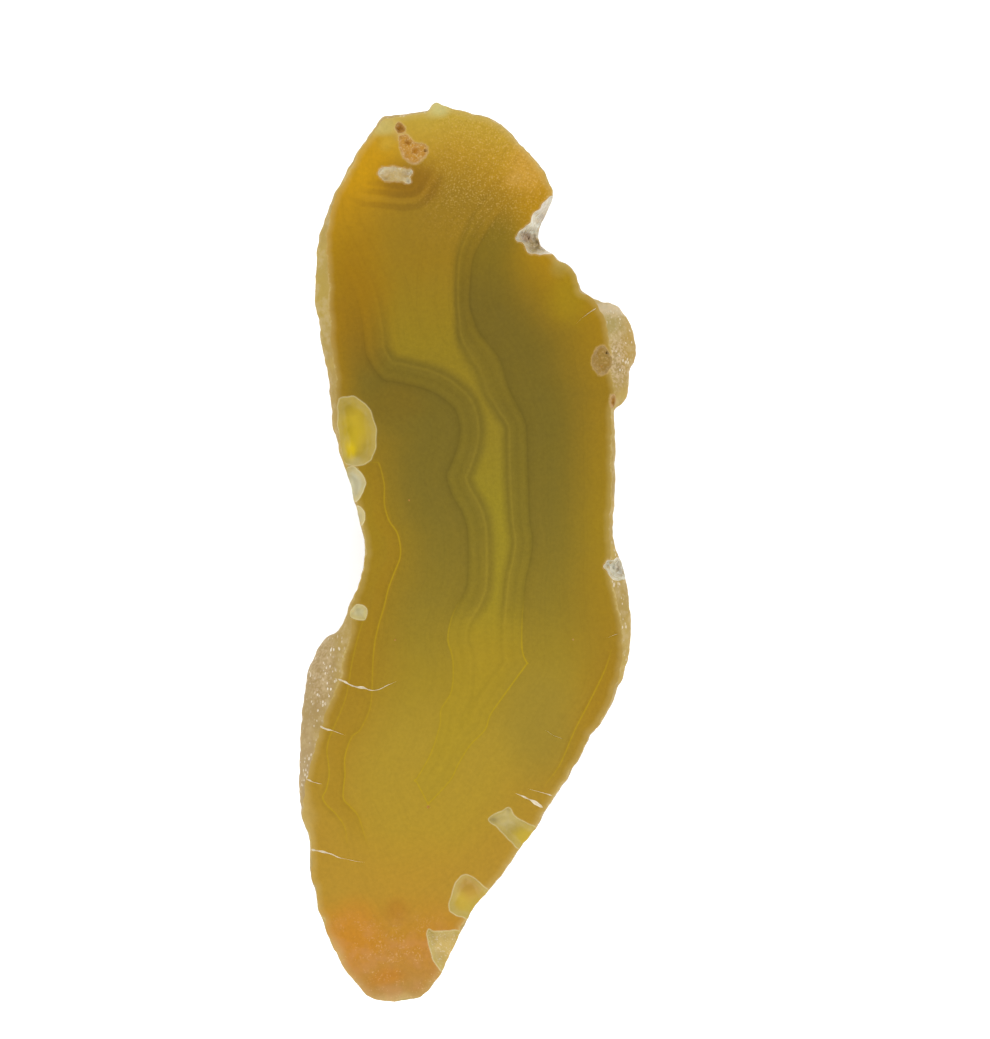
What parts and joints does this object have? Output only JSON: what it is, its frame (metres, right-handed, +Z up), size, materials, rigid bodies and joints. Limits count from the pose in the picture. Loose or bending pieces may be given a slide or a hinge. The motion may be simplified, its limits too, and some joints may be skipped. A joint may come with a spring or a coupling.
{
  "type": "sawn agate nodule half",
  "caption": "Long, waisted agate nodule sawn lengthwise: flat banded amber and olive face up, chipped edge, rounded natural back resting on a small flat spot.",
  "frame": {"origin": "middle of the bounding box in plan, on the surface that the stone lies on", "axes": "+Z up, square to the sawn face; +Y along the stone, towards the end with the quartz pits; +X across it, towards the side with the knob"},
  "size_m": [0.03, 0.08, 0.013],
  "materials": {
    "agate": "matt sawn chalcedony, banded amber and olive, with a tan natural skin"
  },
  "bodies": {
    "root": {"agate_nodule": "agate"}
  },
  "joints": []
}
